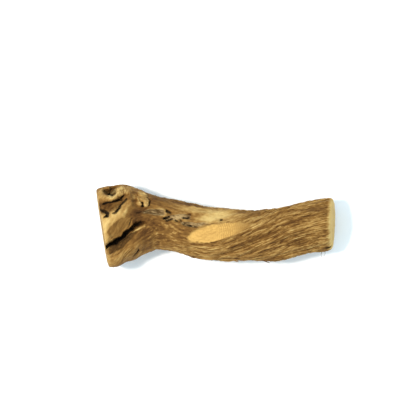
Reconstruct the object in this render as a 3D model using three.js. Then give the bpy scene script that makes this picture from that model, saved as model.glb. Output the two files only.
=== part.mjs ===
// A piece of driftwood, sawn across at both ends and grown as one body: a gnarled head split
// by a deep cleft, a waisted neck with a row of eaten-out trenches, and a slim limb whose
// fibres wind slowly round it.
// Millimetres, +Z up. +X runs from the head to the limb's sawn end. The origin is on the
// surface that the piece lies on, below the middle of its box.
import * as THREE from "three";

const { clamp, degToRad, lerp, smoothstep } = THREE.MathUtils;

// Driving dimensions: sections through the heart line, from the head to the limb. Each has its
// centre, and its half width and half height across the grain.
const SECTIONS = [
  { x: -94.0, y: -1.5, z: 27.6, halfWidth: 33.1, halfHeight: 25.5 },
  { x: -87.0, y: -0.4, z: 27.6, halfWidth: 34.0, halfHeight: 26.4 },
  { x: -79.0, y: 0.9, z: 27.4, halfWidth: 31.2, halfHeight: 26.2 },
  { x: -69.0, y: 1.9, z: 26.8, halfWidth: 29.3, halfHeight: 24.8 },
  { x: -59.0, y: 2.5, z: 26.0, halfWidth: 24.9, halfHeight: 22.6 },
  { x: -49.0, y: 2.9, z: 25.4, halfWidth: 21.9, halfHeight: 21.0 },
  { x: -37.0, y: 1.0, z: 25.2, halfWidth: 21.0, halfHeight: 20.4 },
  { x: -21.0, y: -2.1, z: 25.2, halfWidth: 21.0, halfHeight: 20.4 },
  { x: -5.0, y: -5.5, z: 25.0, halfWidth: 22.0, halfHeight: 20.6 },
  { x: 12.0, y: -6.9, z: 24.4, halfWidth: 21.0, halfHeight: 20.0 },
  { x: 29.0, y: -7.7, z: 23.4, halfWidth: 20.1, halfHeight: 19.8 },
  { x: 46.0, y: -7.0, z: 22.6, halfWidth: 21.1, halfHeight: 20.4 },
  { x: 63.0, y: -3.9, z: 22.0, halfWidth: 21.4, halfHeight: 20.8 },
  { x: 80.0, y: 0.0, z: 21.6, halfWidth: 21.0, halfHeight: 20.6 },
  { x: 97.0, y: 2.7, z: 21.4, halfWidth: 21.7, halfHeight: 20.4 },
];
const HEAD_EDGE_WEAR = 2.2; // rounding round the head's sawn face
const LIMB_EDGE_WEAR = 4.2; // rounding round the limb's sawn face
const HEAD_SAW_LEAN = degToRad(4); // how far each sawn face looks upwards
const LIMB_SAW_LEAN = degToRad(9);
const LIMB_SAW_SKEW = degToRad(10.5); // how far the limb's sawn face is turned to the front
const SAW_LEAN_RUN = 0.2; // share of the length over which the sections lean to meet a saw cut
const HEAD_SQUARENESS = 0.82; // power that squares the head's sections, where 1 is an ellipse
const SQUARE_FADE = [-85, -45]; // x between which the square sections turn into ellipses

// The upper side, which is carved, and the underside, which has the feet: the sines of the angle
// above and below the middle of a section between which each one fades in.
const UPPER_SIDE = [0.05, 0.45];
const UNDER_SIDE = [0.3, 0.7];

// The fibres wind round the heart, sharply in the head and slowly along the limb: by how many
// radians, between which x.
const TWISTS = [
  { turn: 1.0, from: -112, to: -52 },
  { turn: 1.4, from: -20, to: 65 },
];

// Broad lumps and hollows all over, largest on the head: how fast each wave runs along x, y
// and z in radians per millimetre, its phase and its height.
const GNARLS = [
  { wave: [0.11, 0.19, 0.07], phase: 0.4, height: 0.9 },
  { wave: [-0.16, 0.12, 0.21], phase: 2.2, height: 0.8 },
  { wave: [0.24, -0.2, 0.17], phase: 4.0, height: 0.5 },
];
const LIMB_GNARL = 0.45; // share of the lumps' height that is left on the limb
const GNARL_FADE = [-70, -40]; // x between which the head's lumps settle to the limb's

// Fibre ridges that stand on the limb: how many round it, how high and their phase.
const RIDGES = [
  { count: 11, height: 0.42, phase: 0.6 },
  { count: 17, height: 0.34, phase: 2.1 },
];
const RIDGE_WANDER = 24; // length along the grain over which a ridge drifts sideways
const RIDGE_FADE = [-40, 10]; // x between which the ridges rise out of the smooth neck

// Grooves carved down into the upper side: x, y, half width and depth along each one.
const GROOVES = {
  cleft: [
    [-97.2, -21.7, 2.2, 10.0],
    [-90.2, -17.2, 2.1, 15.0],
    [-81.2, -12.4, 2.4, 18.0],
    [-74.2, -7.0, 2.4, 17.0],
    [-68.6, -2.4, 2.1, 13.0],
    [-64.2, 1.4, 2.0, 8.0],
    [-59.2, 2.2, 1.6, 4.0],
    [-56.0, 2.4, 1.0, 0.8],
  ],
  cleftWall: [
    [-94.2, -24.4, 3.0, 4.0],
    [-86.2, -19.9, 3.6, 7.0],
    [-78.7, -15.4, 3.6, 7.0],
    [-71.7, -10.4, 3.0, 6.0],
    [-65.2, -5.0, 2.0, 3.0],
  ],
  valley: [
    [-96.4, 13.6, 4.4, 6.5],
    [-88.4, 15.0, 5.0, 7.0],
    [-81.4, 18.2, 3.8, 6.5],
    [-75.4, 22.6, 2.0, 4.0],
    [-70.9, 25.6, 1.2, 0.5],
  ],
  pit: [
    [-90.4, 28.6, 3.4, 8.0],
    [-85.6, 27.6, 4.6, 12.0],
    [-83.4, 33.2, 3.6, 8.0],
  ],
  hollow: [
    [-68.0, 31.0, 3.0, 1.5],
    [-67.0, 24.0, 3.2, 2.4],
    [-65.5, 17.0, 3.2, 2.0],
  ],
  trenchNearHead: [
    [-61.8, 10.8, 0.8, 0.6],
    [-55.5, 11.7, 2.0, 2.6],
    [-49.5, 11.4, 2.8, 3.4],
    [-44.6, 10.9, 2.9, 3.2],
  ],
  trenchMiddle: [
    [-41.4, 6.4, 1.6, 3.6],
    [-36.4, 7.0, 2.2, 2.6],
    [-26.9, 7.8, 2.4, 2.4],
    [-22.4, 7.0, 1.8, 3.4],
  ],
  trenchNearLimb: [
    [-27.6, 2.4, 1.8, 1.6],
    [-21.6, 1.2, 2.4, 2.6],
    [-16.6, 0.6, 2.0, 2.0],
    [-8.0, 2.2, 1.6, 0.9],
    [-1.5, 2.6, 0.8, 0.3],
  ],
};

// Ridges raised on the upper side: x, y, half width and height along each one.
const CRESTS = {
  pitRim: [
    [-94.4, 29.8, 2.8, 3.0],
    [-94.4, 24.3, 3.2, 4.4],
    [-89.4, 21.8, 3.0, 4.4],
    [-84.4, 21.8, 2.8, 4.4],
    [-80.2, 25.2, 2.4, 4.4],
    [-78.2, 31.4, 2.4, 3.8],
  ],
  middleLobe: [
    [-92.9, -13.6, 5.0, 3.0],
    [-91.9, 0.4, 6.0, 3.8],
    [-87.4, 5.6, 6.0, 4.2],
    [-78.4, 11.0, 5.6, 4.0],
    [-70.9, 17.6, 4.6, 2.2],
  ],
  frontLobe: [
    [-89.0, -27.8, 6.0, 2.2],
    [-77.0, -21.3, 6.4, 2.8],
    [-67.0, -12.3, 5.4, 1.6],
  ],
};

// The scrap of old bark that still clings behind the neck, split into two prongs.
const FLAKES = {
  bark: [
    [-61.8, 29.4, 2.4, 1.6],
    [-60.8, 24.8, 3.4, 3.0],
  ],
  leftProng: [
    [-62.2, 24.6, 2.2, 2.6],
    [-63.0, 18.6, 1.8, 2.4],
  ],
  rightProng: [
    [-59.4, 24.0, 2.8, 3.0],
    [-57.6, 18.0, 2.6, 3.0],
  ],
};

// The flat facet along the middle lobe's lower side, where a sliver split off: a plane through its
// upper edge that falls towards the cleft, and a line along its middle with half widths and share.
const FACET = {
  x: -80,
  y: 3.8,
  z: 55.8,
  bearing: degToRad(-48), // which way it falls, turned from +X
  slope: degToRad(40),
  middle: [
    [-82.6, -4.8, 5.6, 1],
    [-74.4, 2.2, 5.6, 1],
  ],
};

// The smooth scar where a side shoot was shaved off: an oval cut flat, just below the surface.
const SCAR = {
  x: 2,
  y: -4.8,
  halfLength: 27,
  halfWidth: 6.8,
  taper: 0.28, // share by which it narrows towards the limb
  turn: degToRad(12.5),
  depth: 1.4,
  edge: [0.8, 1.1], // shares of the oval between which it fades out
};

// Swellings that lie on the sides and underneath: where along the grain, at what angle from
// straight up towards the back, how far they reach along and round, and how far they stand out.
const SWELLINGS = [
  { x: -87, angle: degToRad(-150), reach: 14, spread: 0.34, rise: 1.8 },
  { x: -84, angle: degToRad(146), reach: 17, spread: 0.34, rise: 1.8 },
  { x: -80, angle: degToRad(180), reach: 28, spread: 0.24, rise: -4.4 },
  { x: -74, angle: degToRad(90), reach: 10, spread: 0.36, rise: 3.8 },
  { x: -71, angle: degToRad(-90), reach: 8, spread: 0.4, rise: -2.2 },
  { x: -12, angle: degToRad(150), reach: 15, spread: 0.5, rise: 2.2 },
  { x: 34, angle: degToRad(-125), reach: 20, spread: 0.5, rise: -1.4 },
];

// Low points that the piece lies on, round its weight, each worn to a small flat.
const FEET = [
  { x: -84, y: 17, reach: 10, drop: 3.2 },
  { x: -84, y: -20, reach: 10, drop: 3.4 },
  { x: 72, y: -2, reach: 12, drop: 1.9 },
];

// The mesh: rings in each span between sections, close on the head and wider on the limb, and
// points round it, which crowd towards the upper side.
const HEAD_SPANS = 5;
const HEAD_RINGS = 6;
const LIMB_RINGS = 3;
const POINTS_ROUND = 92;
const CROWDING = 0.3;
const EDGE_RINGS = [0, 0.12, 0.45]; // rings in a worn edge, as shares of its rounding

const heartLine = new THREE.CatmullRomCurve3(
  SECTIONS.map((s) => new THREE.Vector3(s.x, s.y, s.z)),
  false,
  "catmullrom",
);
const halfSizes = new THREE.CatmullRomCurve3(
  SECTIONS.map((s) => new THREE.Vector3(s.halfWidth, s.halfHeight, 0)),
  false,
  "catmullrom",
);

// A bell-shaped swell: 1 at the middle and nearly nothing two widths away.
const bell = (distance) => Math.exp(-distance * distance);

// Profiles across a line, by distance in half widths: a steep-walled groove with rounded lips,
// a soft ridge, and a flake with a flat top.
const GROOVE_WALL = [0.3, 1.15];
const GROOVE_LIP = { share: 0.16, reach: 2.4 };
const CREST_REACH = 1.1;
const FLAKE_EDGE = [0.7, 1.2];
const grooveProfile = (away) =>
  (1 - GROOVE_LIP.share) * (1 - smoothstep(away, ...GROOVE_WALL)) +
  GROOVE_LIP.share * bell(away / GROOVE_LIP.reach);
const crestProfile = (away) => bell(away / CREST_REACH);
const flakeProfile = (away) => 1 - smoothstep(away, ...FLAKE_EDGE);

// How strongly the strongest of these lines acts at a place on the upper side.
const strongestAt = (lines, profile, x, y) =>
  Math.max(...Object.values(lines).map((points) => strengthAt(points, profile, x, y)));

// How strongly a line of points, each with its half width and strength, acts at a place.
function strengthAt(points, profile, x, y) {
  let strongest = 0;
  for (let i = 0; i + 1 < points.length; i++) {
    const [ax, ay, aHalf, aDepth] = points[i];
    const [bx, by, bHalf, bDepth] = points[i + 1];
    const [dx, dy] = [bx - ax, by - ay];
    const share = clamp(((x - ax) * dx + (y - ay) * dy) / (dx * dx + dy * dy), 0, 1);
    const away = Math.hypot(x - ax - share * dx, y - ay - share * dy);
    const here = lerp(aDepth, bDepth, share) * profile(away / lerp(aHalf, bHalf, share));
    strongest = Math.max(strongest, here);
  }
  return strongest;
}

// The frame of the section at a share t of the length: its centre, half sizes and directions.
// The sections near the ends lean, so that the last one lies in its saw cut.
function sectionAt(t) {
  const centre = heartLine.getPoint(t);
  const along = heartLine.getTangent(t);
  const lean =
    LIMB_SAW_LEAN * smoothstep(t, 1 - SAW_LEAN_RUN, 1) -
    HEAD_SAW_LEAN * (1 - smoothstep(t, 0, SAW_LEAN_RUN));
  along.z += Math.tan(lean);
  along.y -= Math.tan(LIMB_SAW_SKEW) * smoothstep(t, 1 - SAW_LEAN_RUN, 1);
  along.normalize();
  const back = new THREE.Vector3(0, 0, 1).cross(along).normalize();
  const up = along.clone().cross(back);
  const { x: halfWidth, y: halfHeight } = halfSizes.getPoint(t);
  return { centre, back, up, halfWidth, halfHeight };
}

// How far the fibres have turned round the heart at x.
const twistAt = (x) => TWISTS.reduce((sum, w) => sum + w.turn * smoothstep(x, w.from, w.to), 0);

// How far the lumps push the surface out at a point.
function gnarlAt({ x, y, z }) {
  const share = lerp(1, LIMB_GNARL, smoothstep(x, ...GNARL_FADE));
  return GNARLS.reduce((sum, { wave, phase, height }) => {
    const turn = wave[0] * x + wave[1] * y + wave[2] * z + phase;
    return sum + share * height * Math.sin(turn);
  }, 0);
}

// How far a worn edge has drawn in at this distance from its sawn face.
function edgeInset(distance, wear) {
  const left = clamp(wear - distance, 0, wear);
  return wear - Math.sqrt(wear * wear - left * left);
}

// Fibre ridges on the limb, which fade out on the neck and on the smooth scar.
function ridgeHeight(x, fibre, bare) {
  const fade = smoothstep(x, ...RIDGE_FADE) * (1 - bare);
  const drift = Math.sin(x / RIDGE_WANDER);
  return RIDGES.reduce(
    (sum, r) => sum + fade * r.height * Math.sin(r.count * fibre + r.phase + drift),
    0,
  );
}

// 1 inside the scar's oval and 0 outside it.
function scarAt(x, y) {
  const [dx, dy] = [x - SCAR.x, y - SCAR.y];
  const along = dx * Math.cos(SCAR.turn) + dy * Math.sin(SCAR.turn);
  const across = dy * Math.cos(SCAR.turn) - dx * Math.sin(SCAR.turn);
  const run = along / SCAR.halfLength;
  const halfWidth = SCAR.halfWidth * (1 - SCAR.taper * clamp(run, -1, 1));
  const away = Math.hypot(run, across / halfWidth);
  return 1 - smoothstep(away, ...SCAR.edge);
}

// How far the facet's plane cuts into the surface at a point.
function facetCut({ x, y, z }) {
  const run = (x - FACET.x) * Math.cos(FACET.bearing) + (y - FACET.y) * Math.sin(FACET.bearing);
  const above = z - (FACET.z - run * Math.tan(FACET.slope));
  return Math.max(0, above) * strengthAt(FACET.middle, flakeProfile, x, y);
}

// How far the swellings push the surface out at x, at an angle from straight up.
function swellingAt(x, angle) {
  return SWELLINGS.reduce((sum, s) => {
    const round = Math.atan2(Math.sin(angle - s.angle), Math.cos(angle - s.angle));
    return sum + s.rise * bell((x - s.x) / s.reach) * bell(round / s.spread);
  }, 0);
}

// The angle from the back, with turns crowded together towards the upper side.
const crowded = (turn) => turn - CROWDING * Math.sin(turn - Math.PI / 2);

// The point of the surface at a share t of the length, on the line that starts at a turn round
// the heart and follows the fibres.
function surfacePoint(t, turn, edge) {
  const { centre, back, up, halfWidth, halfHeight } = sectionAt(t);
  const twist = twistAt(centre.x);
  const angle = crowded(turn - twist);
  const power = lerp(HEAD_SQUARENESS, 1, smoothstep(centre.x, ...SQUARE_FADE));
  const squared = (value) => Math.sign(value) * Math.abs(value) ** power;
  const outward = new THREE.Vector3()
    .addScaledVector(back, halfWidth * squared(Math.cos(angle)))
    .addScaledVector(up, halfHeight * squared(Math.sin(angle)));
  const point = centre.clone().add(outward);
  const radius = outward.length();
  const upward = smoothstep(Math.sin(angle), ...UPPER_SIDE);
  const bare = scarAt(point.x, point.y) * upward;

  const relief =
    gnarlAt(point) +
    swellingAt(point.x, Math.PI / 2 - angle) +
    ridgeHeight(point.x, angle + twist, bare);
  point.addScaledVector(outward, (relief - edge) / radius);

  const carved = strongestAt(GROOVES, grooveProfile, point.x, point.y);
  const raised =
    strongestAt(CRESTS, crestProfile, point.x, point.y) +
    strongestAt(FLAKES, flakeProfile, point.x, point.y);
  const shaved = Math.max(0, point.z - (centre.z + halfHeight - SCAR.depth)) * bare;
  point.addScaledVector(up, upward * (raised - carved) - shaved);
  point.z -= upward * facetCut(point);

  const downward = smoothstep(-Math.sin(angle), ...UNDER_SIDE);
  for (const foot of FEET) {
    const away = Math.hypot(point.x - foot.x, point.y - foot.y) / foot.reach;
    point.z -= foot.drop * bell(away) * downward;
  }
  point.z = Math.max(point.z, 0);
  return point;
}

// The shares of the length where rings lie, with how far each is drawn in by a worn edge.
function ringPlaces() {
  const spans = SECTIONS.length - 1;
  const headWear = HEAD_EDGE_WEAR / (SECTIONS[1].x - SECTIONS[0].x) / spans;
  const limbWear = LIMB_EDGE_WEAR / (SECTIONS.at(-1).x - SECTIONS.at(-2).x) / spans;
  const places = [];
  for (const share of EDGE_RINGS) {
    const edge = edgeInset(share * HEAD_EDGE_WEAR, HEAD_EDGE_WEAR);
    places.push({ t: share * headWear, edge });
  }
  for (let span = 0; span < spans; span++) {
    const rings = span < HEAD_SPANS ? HEAD_RINGS : LIMB_RINGS;
    for (let i = 0; i < rings; i++) {
      const t = (span + i / rings) / spans;
      places.push({ t: lerp(headWear, 1 - limbWear, t), edge: 0 });
    }
  }
  places.push({ t: 1 - limbWear, edge: 0 });
  for (const share of [...EDGE_RINGS].reverse()) {
    const edge = edgeInset(share * LIMB_EDGE_WEAR, LIMB_EDGE_WEAR);
    places.push({ t: 1 - share * limbWear, edge });
  }
  return places;
}

// One closed skin: quads between the rings, split along their shorter diagonal, and a flat fan
// over each sawn face.
function driftwoodGeometry() {
  const places = ringPlaces();
  const turns = Array.from({ length: POINTS_ROUND }, (_, j) => (2 * Math.PI * j) / POINTS_ROUND);
  const points = places.flatMap(({ t, edge }) => turns.map((a) => surfacePoint(t, a, edge)));
  const faces = [];
  const at = (ring, j) => ring * POINTS_ROUND + (j % POINTS_ROUND);
  for (let ring = 0; ring + 1 < places.length; ring++)
    for (let j = 0; j < POINTS_ROUND; j++) {
      const [a, b] = [at(ring, j), at(ring, j + 1)];
      const [c, d] = [at(ring + 1, j + 1), at(ring + 1, j)];
      if (points[a].distanceTo(points[c]) < points[b].distanceTo(points[d]))
        faces.push(a, b, c, a, c, d);
      else faces.push(a, b, d, b, c, d);
    }
  const headCentre = points.push(sectionAt(0).centre) - 1;
  const limbCentre = points.push(sectionAt(1).centre) - 1;
  const lastRing = places.length - 1;
  for (let j = 0; j < POINTS_ROUND; j++) {
    faces.push(headCentre, at(0, j + 1), at(0, j));
    faces.push(limbCentre, at(lastRing, j), at(lastRing, j + 1));
  }
  const geometry = new THREE.BufferGeometry().setFromPoints(points);
  geometry.setIndex(faces);
  geometry.computeVertexNormals();
  return geometry;
}

const wood = new THREE.MeshStandardMaterial({ color: 0x9a7542, roughness: 0.85, metalness: 0 });
const driftwood = new THREE.Mesh(driftwoodGeometry(), wood);
driftwood.name = "driftwood";

const part = new THREE.Group();
part.add(driftwood);
export default part;
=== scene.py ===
"""A piece of driftwood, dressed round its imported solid: the same body at the scale of its fibres,
with the hairs and splinters that stand off it, on a pale floor under soft studio light."""

import itertools
import math

import bpy
import numpy as np
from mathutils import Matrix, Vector


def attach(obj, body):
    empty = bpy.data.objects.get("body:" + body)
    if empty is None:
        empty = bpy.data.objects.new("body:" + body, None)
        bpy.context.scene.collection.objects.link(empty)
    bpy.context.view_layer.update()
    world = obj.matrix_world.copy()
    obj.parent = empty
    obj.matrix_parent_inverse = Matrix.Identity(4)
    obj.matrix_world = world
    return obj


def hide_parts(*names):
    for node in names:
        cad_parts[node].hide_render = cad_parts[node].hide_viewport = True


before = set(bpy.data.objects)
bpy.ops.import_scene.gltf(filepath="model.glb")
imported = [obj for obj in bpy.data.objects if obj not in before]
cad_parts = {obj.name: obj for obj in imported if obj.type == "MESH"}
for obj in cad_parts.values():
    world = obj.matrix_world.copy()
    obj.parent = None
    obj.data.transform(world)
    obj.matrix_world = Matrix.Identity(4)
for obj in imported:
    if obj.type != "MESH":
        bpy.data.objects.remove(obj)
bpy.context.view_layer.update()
NODE = "driftwood"
MM = 0.001  # shapes below are in millimetres, and Blender's scene is in metres

# The body's driving dimensions, as in the solid. Sections through the heart line: centre x, y
# and z, half width and half height.
SECTIONS = np.array([
    (-94.0, -1.5, 27.6, 33.1, 25.5),
    (-87.0, -0.4, 27.6, 34.0, 26.4),
    (-79.0, 0.9, 27.4, 31.2, 26.2),
    (-69.0, 1.9, 26.8, 29.3, 24.8),
    (-59.0, 2.5, 26.0, 24.9, 22.6),
    (-49.0, 2.9, 25.4, 21.9, 21.0),
    (-37.0, 1.0, 25.2, 21.0, 20.4),
    (-21.0, -2.1, 25.2, 21.0, 20.4),
    (-5.0, -5.5, 25.0, 22.0, 20.6),
    (12.0, -6.9, 24.4, 21.0, 20.0),
    (29.0, -7.7, 23.4, 20.1, 19.8),
    (46.0, -7.0, 22.6, 21.1, 20.4),
    (63.0, -3.9, 22.0, 21.4, 20.8),
    (80.0, 0.0, 21.6, 21.0, 20.6),
    (97.0, 2.7, 21.4, 21.7, 20.4),
])
HEAD_EDGE_WEAR = 2.2
LIMB_EDGE_WEAR = 4.2
HEAD_SAW_LEAN = math.radians(4)
LIMB_SAW_LEAN = math.radians(9)
LIMB_SAW_SKEW = math.radians(10.5)
SAW_LEAN_RUN = 0.2
HEAD_SQUARENESS = 0.82
SQUARE_FADE = (-85, -45)  # x between which the square sections turn into ellipses

# The upper side, which is carved, and the underside, which has the feet: the sines of the angle
# above and below the middle of a section between which each one fades in.
UPPER_SIDE = (0.05, 0.45)
UNDER_SIDE = (0.3, 0.7)

# The same worn edges as shares of the length.
SPANS = len(SECTIONS) - 1
HEAD_WEAR = HEAD_EDGE_WEAR / (SECTIONS[1, 0] - SECTIONS[0, 0]) / SPANS
LIMB_WEAR = LIMB_EDGE_WEAR / (SECTIONS[-1, 0] - SECTIONS[-2, 0]) / SPANS

# Twist of the fibres: radians, from x, to x.
TWISTS = ((1.0, -112, -52), (1.4, -20, 65))

# Broad lumps: wave along x, y and z, phase and height.
GNARLS = (
    ((0.11, 0.19, 0.07), 0.4, 0.9),
    ((-0.16, 0.12, 0.21), 2.2, 0.8),
    ((0.24, -0.2, 0.17), 4.0, 0.5),
)
LIMB_GNARL = 0.45
GNARL_FADE = (-70, -40)

# Broad fibre ridges: count, height and phase.
RIDGES = ((11, 0.42, 0.6), (17, 0.34, 2.1))
RIDGE_WANDER = 24
RIDGE_FADE = (-40, 10)

# Profiles across a line, by distance in half widths: a steep-walled groove with rounded lips, a
# soft ridge, and a flake with a flat top.
GROOVE_WALL = (0.3, 1.15)
GROOVE_LIP_SHARE = 0.16
GROOVE_LIP_REACH = 2.4
CREST_STEEPNESS = 0.9
FLAKE_EDGE = (0.7, 1.2)

# Grooves in the upper side: x, y, half width and depth along each one.
GROOVES = {
    "cleft": [
        (-97.2, -21.7, 2.2, 10.0),
        (-90.2, -17.2, 2.1, 15.0),
        (-81.2, -12.4, 2.4, 18.0),
        (-74.2, -7.0, 2.4, 17.0),
        (-68.6, -2.4, 2.1, 13.0),
        (-64.2, 1.4, 2.0, 8.0),
        (-59.2, 2.2, 1.6, 4.0),
        (-56.0, 2.4, 1.0, 0.8),
    ],
    "cleft_wall": [
        (-94.2, -24.4, 3.0, 4.0),
        (-86.2, -19.9, 3.6, 7.0),
        (-78.7, -15.4, 3.6, 7.0),
        (-71.7, -10.4, 3.0, 6.0),
        (-65.2, -5.0, 2.0, 3.0),
    ],
    "valley": [
        (-96.4, 13.6, 4.4, 6.5),
        (-88.4, 15.0, 5.0, 7.0),
        (-81.4, 18.2, 3.8, 6.5),
        (-75.4, 22.6, 2.0, 4.0),
        (-70.9, 25.6, 1.2, 0.5),
    ],
    "pit": [(-90.4, 28.6, 3.4, 8.0), (-85.6, 27.6, 4.6, 12.0), (-83.4, 33.2, 3.6, 8.0)],
    "hollow": [(-68.0, 31.0, 3.0, 1.5), (-67.0, 24.0, 3.2, 2.4), (-65.5, 17.0, 3.2, 2.0)],
}

# Trenches eaten out of the neck, in the same form.
TRENCHES = {
    "near_head": [
        (-61.8, 10.8, 0.8, 0.6),
        (-55.5, 11.7, 2.0, 2.6),
        (-49.5, 11.4, 2.8, 3.4),
        (-44.6, 10.9, 2.9, 3.2),
    ],
    "middle": [
        (-41.4, 6.4, 1.6, 3.6),
        (-36.4, 7.0, 2.2, 2.6),
        (-26.9, 7.8, 2.4, 2.4),
        (-22.4, 7.0, 1.8, 3.4),
    ],
    "near_limb": [
        (-27.6, 2.4, 1.8, 1.6),
        (-21.6, 1.2, 2.4, 2.6),
        (-16.6, 0.6, 2.0, 2.0),
        (-8.0, 2.2, 1.6, 0.9),
        (-1.5, 2.6, 0.8, 0.3),
    ],
}

# Ridges on the upper side: x, y, half width and height along each one. Only the dressed body has
# the fine ones.
CRESTS = {
    "pit_rim": [
        (-94.4, 29.8, 2.8, 3.0),
        (-94.4, 24.3, 3.2, 4.4),
        (-89.4, 21.8, 3.0, 4.4),
        (-84.4, 21.8, 2.8, 4.4),
        (-80.2, 25.2, 2.4, 4.4),
        (-78.2, 31.4, 2.4, 3.8),
    ],
    "middle_lobe": [
        (-92.9, -13.6, 5.0, 3.0),
        (-91.9, 0.4, 6.0, 3.8),
        (-87.4, 5.6, 6.0, 4.2),
        (-78.4, 11.0, 5.6, 4.0),
        (-70.9, 17.6, 4.6, 2.2),
    ],
    "front_lobe": [(-89.0, -27.8, 6.0, 2.2), (-77.0, -21.3, 6.4, 2.8), (-67.0, -12.3, 5.4, 1.6)],
}
FINE_CRESTS = {
    "pit_edge": [
        (-78.2, 33.4, 0.9, 0.8),
        (-80.2, 29.8, 0.9, 1.0),
        (-81.7, 26.0, 1.0, 1.2),
        (-84.2, 23.3, 1.0, 1.2),
        (-87.0, 22.5, 1.0, 1.0),
        (-89.8, 23.2, 0.9, 0.7),
    ],
    "pit_blade": [(-82.8, 29.8, 0.8, 2.6), (-87.0, 25.0, 0.9, 3.6)],
    "lobe_edge": [(-70.8, 17.2, 0.9, 0.4), (-74.2, 11.4, 1.1, 0.8), (-76.6, 8.2, 0.8, 0.4)],
    "long_fibre": [(27.4, -10.6, 0.5, 0.5), (36.8, -5.6, 0.6, 0.9), (47.8, -0.8, 0.5, 0.5)],
    "upper_fibre": [(59.6, 9.6, 0.4, 0.4), (67.0, 10.4, 0.5, 0.8), (75.0, 11.2, 0.4, 0.4)],
    "crack_lip": [(-67.0, -27.4, 0.7, 0.5), (-61.6, -21.0, 0.8, 0.9)],
    "trench_rim": [
        (-58.6, 12.6, 0.5, 0.4),
        (-54.8, 13.9, 0.6, 0.7),
        (-46.4, 14.4, 0.7, 0.9),
        (-41.8, 12.8, 0.8, 1.1),
        (-41.2, 10.4, 0.9, 1.2),
        (-43.0, 8.2, 0.8, 1.1),
        (-46.8, 8.2, 0.7, 0.5),
    ],
    "lip": [(-67.8, -5.4, 0.7, 0.7), (-63.0, -2.2, 0.9, 1.2), (-58.6, -0.2, 0.6, 0.6)],
}

# The scrap of old bark that still clings behind the neck, in the same form.
FLAKES = {
    "bark": [(-61.8, 29.4, 2.4, 1.6), (-60.8, 24.8, 3.4, 3.0)],
    "left_prong": [(-62.2, 24.6, 2.2, 2.6), (-63.0, 18.6, 1.8, 2.4)],
    "right_prong": [(-59.4, 24.0, 2.8, 3.0), (-57.6, 18.0, 2.6, 3.0)],
}

# The shaved scar: centre, half length and width, taper towards the limb, turn and depth.
SCAR_CENTRE = (2.0, -4.8)
SCAR_HALF = (27.0, 6.8)
SCAR_TAPER = 0.28
SCAR_TURN = math.radians(12.5)
SCAR_DEPTH = 1.4
SCAR_EDGE = (0.8, 1.1)

# Swellings on the sides and underneath: x, angle from straight up, reach, spread and rise.
SWELLINGS = (
    (-87, math.radians(-150), 14, 0.34, 1.8),
    (-84, math.radians(146), 17, 0.34, 1.8),
    (-80, math.radians(180), 28, 0.24, -4.4),
    (-74, math.radians(90), 10, 0.36, 3.8),
    (-71, math.radians(-90), 8, 0.4, -2.2),
    (-12, math.radians(150), 15, 0.5, 2.2),
    (34, math.radians(-125), 20, 0.5, -1.4),
)
# Feet: x, y, reach and drop.
FEET = ((-84, 17, 10, 3.2), (-84, -20, 10, 3.4), (72, -2, 12, 1.9))

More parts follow.
